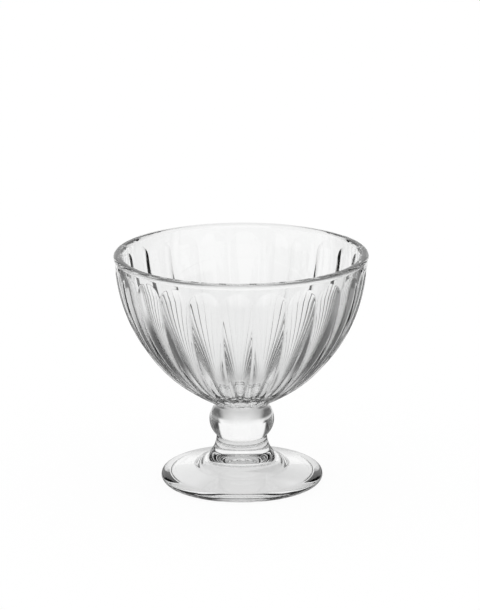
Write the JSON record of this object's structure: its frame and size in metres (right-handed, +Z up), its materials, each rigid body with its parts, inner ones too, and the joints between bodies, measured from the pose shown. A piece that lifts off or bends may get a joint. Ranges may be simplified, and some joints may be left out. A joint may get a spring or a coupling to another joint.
{
  "type": "parfait glass",
  "caption": "Clear pressed-glass parfait coupe with a wide fluted bowl, a rolled rim, a ball stem and a round foot.",
  "frame": {"origin": "on the glass's axis, in the plane that the foot stands on", "axes": "+Z up along the glass's axis; -Y towards the side that the picture shows"},
  "size_m": [0.112, 0.112, 0.104],
  "materials": {
    "clear_glass": "fire-polished clear pressed glass"
  },
  "bodies": {
    "root": {"bowl": "clear_glass", "knop": "clear_glass", "foot": "clear_glass"}
  },
  "joints": []
}
